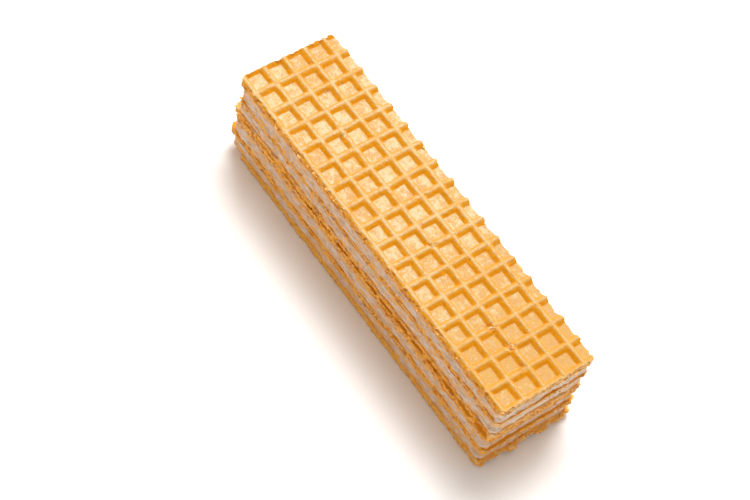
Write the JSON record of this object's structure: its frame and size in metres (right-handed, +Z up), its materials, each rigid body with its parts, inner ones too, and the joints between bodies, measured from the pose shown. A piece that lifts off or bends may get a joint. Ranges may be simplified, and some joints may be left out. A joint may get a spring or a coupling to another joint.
{
  "type": "cream wafer cookie",
  "caption": "Long block-shaped wafer cookie: crisp waffle-patterned sheets with layers of pale cream between them, cut square and a little crumbly at the edges.",
  "frame": {"origin": "middle of the underside, at the height of the flat rib tops of the lowest sheet that the cookie rests on", "axes": "+X along the cookie towards the end nearest the camera in the picture, +Y across it towards the side away from the shown long side, +Z up through the layers"},
  "size_m": [0.0952, 0.0258, 0.0246],
  "materials": {
    "baked_crust": "matte golden baked wafer with a fine grain",
    "baked_core": "matte, darker orange-brown, crumbly cut edge",
    "cream_filling": "matte pale pinkish-beige cream, torn where it was cut"
  },
  "bodies": {
    "root": {"wafer_1": "baked_crust", "cream_1": "cream_filling", "wafer_2": "baked_core", "cream_2": "cream_filling", "wafer_3": "baked_crust", "wafer_4": "baked_crust", "cream_3": "cream_filling", "wafer_5": "baked_core", "cream_4": "cream_filling", "wafer_6": "baked_crust"}
  },
  "joints": []
}
